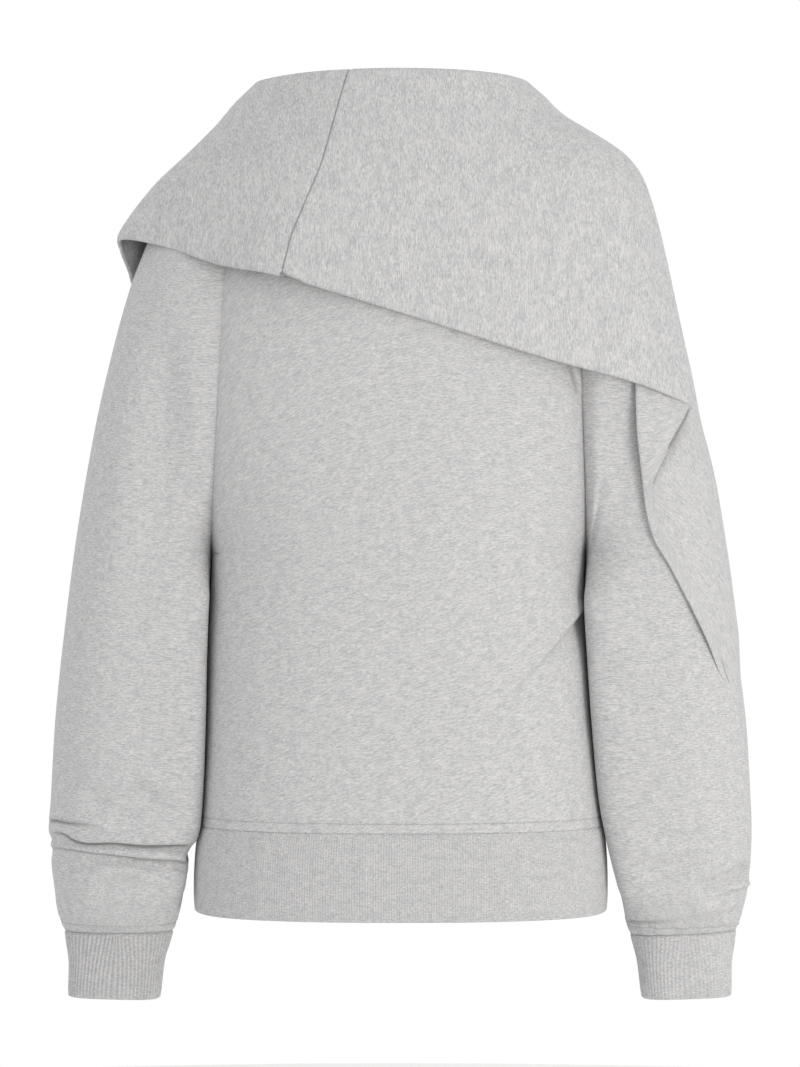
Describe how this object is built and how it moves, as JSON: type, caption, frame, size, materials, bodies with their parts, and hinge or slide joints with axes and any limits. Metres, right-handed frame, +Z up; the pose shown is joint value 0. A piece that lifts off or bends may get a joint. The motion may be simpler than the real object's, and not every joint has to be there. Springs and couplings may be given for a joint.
{
  "type": "sweatshirt, worn form with no wearer",
  "caption": "Pale heather grey loopback sweatshirt with a large asymmetric fold-over collar that drapes over one shoulder, full sleeves and ribbed cuffs and hem.",
  "frame": {"origin": "the point between the shoulders, at the base of the neck, where the wearer carries the garment", "axes": "+Z up, +Y towards the wearer's front, +X towards the wearer's right"},
  "size_m": [0.5914, 0.2688, 0.7714],
  "materials": {
    "jersey": "heather loopback cotton jersey, matt",
    "rib": "heather rib knit, matt",
    "thread": "matt sewing thread"
  },
  "bodies": {
    "root": {"back_panel": "jersey", "front_panel": "jersey", "sleeve_left": "jersey", "sleeve_right": "jersey", "cuff_left": "rib", "cuff_right": "rib", "hem_band": "rib", "collar": "jersey", "drape": "jersey"}
  },
  "joints": []
}
